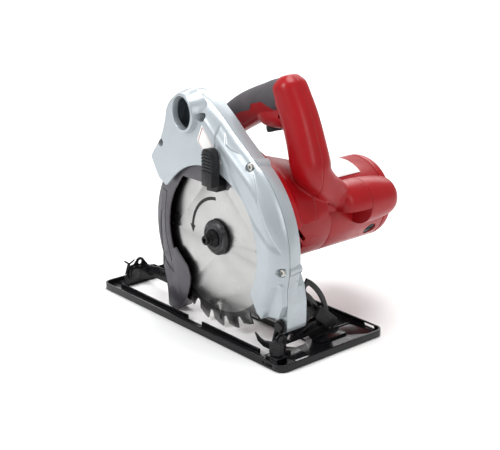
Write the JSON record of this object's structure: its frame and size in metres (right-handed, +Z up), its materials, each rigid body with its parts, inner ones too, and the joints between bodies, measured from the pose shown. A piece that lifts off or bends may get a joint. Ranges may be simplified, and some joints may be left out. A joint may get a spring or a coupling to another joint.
{
  "type": "circular saw",
  "caption": "Hand-held circular saw: tilting, plunging head with gear drive, swinging guard, D handle and pressed base.",
  "frame": {"origin": "centre of the base plate's underside", "axes": "+X forward along the cut, +Y towards the motor, +Z up"},
  "size_m": [0.328, 0.244, 0.2912],
  "materials": {
    "black_enamel": "gloss",
    "zinc_steel": "bright zinc",
    "black_plastic": "satin",
    "silver_paint": "satin paint on cast alloy",
    "dark_guard": "dark satin coat",
    "spring_steel": "oiled",
    "blade_steel": "radially ground",
    "black_steel": "black oxide",
    "ground_steel": "ground",
    "lamination_steel": "stacked laminations",
    "copper": "bare copper, varnished on the coils",
    "carbon": "pressed carbon",
    "red_plastic": "satin moulded",
    "soft_grip": "matte overmould",
    "black_rubber": "matte",
    "label_white": "blank foil label"
  },
  "bodies": {
    "base": {"base_plate": "black_enamel", "front_bracket": "black_enamel", "rear_bracket": "black_enamel", "guide_saddle": "black_enamel", "bevel_rivet_front": "black_steel", "bevel_rivet_rear": "black_steel"},
    "tilt_frame": {"tilt_bracket": "black_enamel", "depth_quadrant": "black_enamel", "depth_pivot_pin": "black_enamel", "bevel_clamp_bolt": "zinc_steel"},
    "head": {"depth_clamp_bolt": "zinc_steel", "upper_guard_cover": "silver_paint", "upper_guard_body": "silver_paint", "cover_screw_0": "zinc_steel", "cover_screw_1": "zinc_steel", "cover_screw_2": "zinc_steel", "cover_screw_3": "zinc_steel", "guard_spring": "spring_steel", "gear_case": "silver_paint", "bearing_plate": "silver_paint", "spindle_bearing_near": "ground_steel", "spindle_bearing_far": "ground_steel", "motor_bearing_near": "ground_steel", "motor_bearing_far": "ground_steel", "motor_housing": "red_plastic", "end_cap": "red_plastic", "field_stator": "lamination_steel", "field_coil_front": "copper", "field_coil_rear": "copper", "brush_holder_front": "black_plastic", "brush_holder_rear": "black_plastic", "brush_front": "carbon", "brush_rear": "carbon", "brush_cap_front": "black_plastic", "brush_cap_rear": "black_plastic", "rating_label": "label_white", "handle_near": "red_plastic", "handle_far": "red_plastic", "aux_handle_end": "red_plastic", "soft_grip": "soft_grip", "switch_body": "black_plastic", "cord_gland": "black_rubber"},
    "blade_set": {"blade": "blade_steel", "inner_flange": "black_steel", "outer_flange": "black_steel", "arbor_bolt": "black_steel", "spindle": "ground_steel", "spindle_gear": "ground_steel"},
    "armature": {"armature_shaft": "ground_steel", "armature_core": "lamination_steel", "commutator": "copper", "fan": "black_plastic"},
    "guide_thumb_screw": {"guide_screw": "black_plastic"},
    "bevel_clamp_lever": {"bevel_lever": "black_plastic"},
    "depth_clamp_lever": {"depth_lever": "black_plastic"},
    "trigger_switch": {"trigger": "black_plastic"},
    "lock_off_button": {"lock_button": "black_plastic"},
    "swing_guard": {"lower_guard": "dark_guard", "guard_lever": "black_plastic"}
  },
  "joints": [
    {"name": "guide_screw_turn", "type": "hinge", "parent": "base", "child": "guide_thumb_screw", "pos_m": [0.142, -0.0654, 0.012], "axis": [0, 0, 1], "range_deg": [0, 720]},
    {"name": "bevel_tilt", "type": "hinge", "parent": "base", "child": "tilt_frame", "pos_m": [0.128, -0.0434, 0.016], "axis": [1, 0, 0], "range_deg": [0, 45]},
    {"name": "bevel_lever_turn", "type": "hinge", "parent": "tilt_frame", "child": "bevel_clamp_lever", "pos_m": [0.129, 0.01926, 0.02259], "axis": [1, 0, 0], "range_deg": [-20, 40]},
    {"name": "depth_swing", "type": "hinge", "parent": "tilt_frame", "child": "head", "pos_m": [0.128, -0.0434, 0.034], "axis": [0, -1, 0], "range_deg": [0, 35]},
    {"name": "depth_lever_turn", "type": "hinge", "parent": "head", "child": "depth_clamp_lever", "pos_m": [-0.06, -0.018, 0.166], "axis": [0, 1, 0], "range_deg": [-10, 60]},
    {"name": "lower_guard_swing", "type": "hinge", "parent": "head", "child": "swing_guard", "pos_m": [0.0209, -0.0353, 0.1071], "axis": [0, -1, 0], "range_deg": [-75, 50], "stiffness_Nm_per_rad": 0.08, "springref_deg": 108.86},
    {"name": "blade_spin", "type": "hinge", "parent": "head", "child": "blade_set", "pos_m": [0.0209, -0.0444, 0.1071], "axis": [0, -1, 0], "continuous": true},
    {"name": "armature_spin", "type": "hinge", "parent": "head", "child": "armature", "pos_m": [0.04515, 0.08, 0.12226], "axis": [0, -1, 0], "continuous": true},
    {"name": "trigger_pull", "type": "hinge", "parent": "head", "child": "trigger_switch", "pos_m": [0.0595, 0.0186, 0.24], "axis": [0, 1, 0], "range_deg": [0, 6], "stiffness_Nm_per_rad": 0.8, "springref_deg": -8.59},
    {"name": "lock_button_press", "type": "slide", "parent": "head", "child": "lock_off_button", "axis": [0, -1, 0], "range_m": [0, 0.003], "stiffness_N_per_m": 500, "springref_m": -0.002}
  ],
  "couplings": [
    {"joint": "armature_spin", "follows": "blade_spin", "ratio": -4.2}
  ]
}
